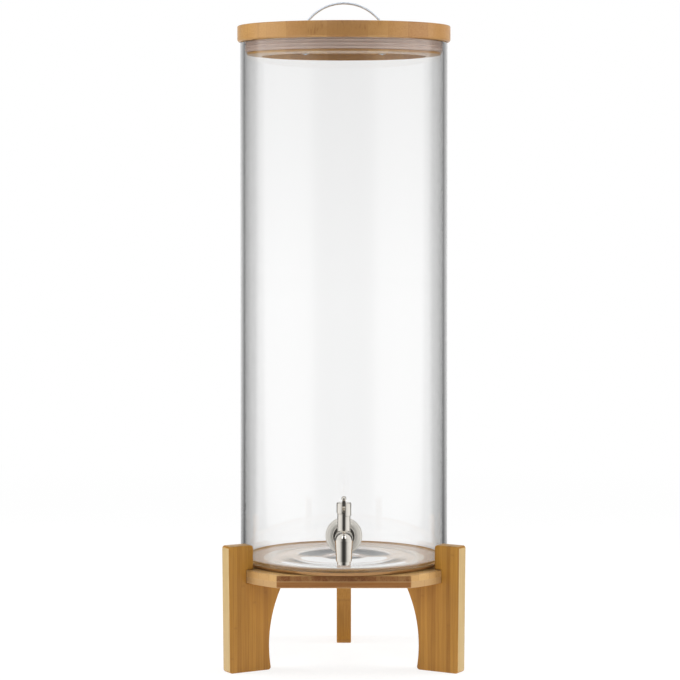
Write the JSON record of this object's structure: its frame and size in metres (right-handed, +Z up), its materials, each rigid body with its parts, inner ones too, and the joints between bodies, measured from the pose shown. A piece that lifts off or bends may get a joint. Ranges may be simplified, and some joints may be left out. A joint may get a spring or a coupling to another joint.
{
  "type": "glass drink dispenser",
  "caption": "Tall clear glass cylinder that holds and serves drinks, on a legged bamboo stand, with a bamboo plug lid, a wire bow handle and a small steel quarter-turn tap low on the front.",
  "frame": {"origin": "bottom centre of the whole object's box, on the surface it stands on; the glass's axis lies 7.1 mm behind it", "axes": "+Z up; the tap faces -Y; +X is to the right of someone who faces the tap"},
  "size_m": [0.2078, 0.2466, 0.573],
  "materials": {
    "clear_glass": "polished clear",
    "bamboo_lid": "laminated bamboo, sanded and oiled",
    "bamboo_deck": "laminated bamboo, sanded and oiled",
    "bamboo_leg": "laminated bamboo, sanded and oiled",
    "polished_steel": "stainless, polished",
    "turned_steel": "stainless, fine turned lines",
    "wire_steel": "stainless wire, drawn",
    "zinc_steel": "zinc plated",
    "clear_silicone": "translucent moulded silicone",
    "black_rubber": "moulded nitrile rubber",
    "white_liner": "machined fluoropolymer"
  },
  "bodies": {
    "stand": {"deck_board": "bamboo_deck", "leg_back": "bamboo_leg", "leg_left": "bamboo_leg", "leg_right": "bamboo_leg", "leg_screws": "zinc_steel"},
    "vessel": {"glass_vessel": "clear_glass", "tap_body": "polished_steel", "tap_flange": "turned_steel", "outer_gasket": "clear_silicone", "inner_gasket": "clear_silicone", "tap_washer": "turned_steel", "tap_nut": "turned_steel", "valve_liner": "white_liner", "gland_ring": "turned_steel"},
    "tap_key": {"tap_cap": "polished_steel", "tap_lever": "polished_steel", "lever_pin": "turned_steel", "valve_plug": "polished_steel", "plug_o_ring": "black_rubber"},
    "lid": {"lid_board": "bamboo_lid", "lid_seal": "clear_silicone", "lid_handle": "wire_steel", "handle_washers": "wire_steel", "handle_nuts": "wire_steel"}
  },
  "joints": [
    {"name": "vessel_lift", "type": "slide", "parent": "stand", "child": "vessel", "axis": [0, 0, 1], "range_m": [0, 0.15]},
    {"name": "lid_lift", "type": "slide", "parent": "vessel", "child": "lid", "axis": [0, 0, 1], "range_m": [0, 0.15]},
    {"name": "lever_turn", "type": "hinge", "parent": "vessel", "child": "tap_key", "pos_m": [0, -0.09788, 0.145], "axis": [0, 0, 1], "range_deg": [0, 90]}
  ]
}
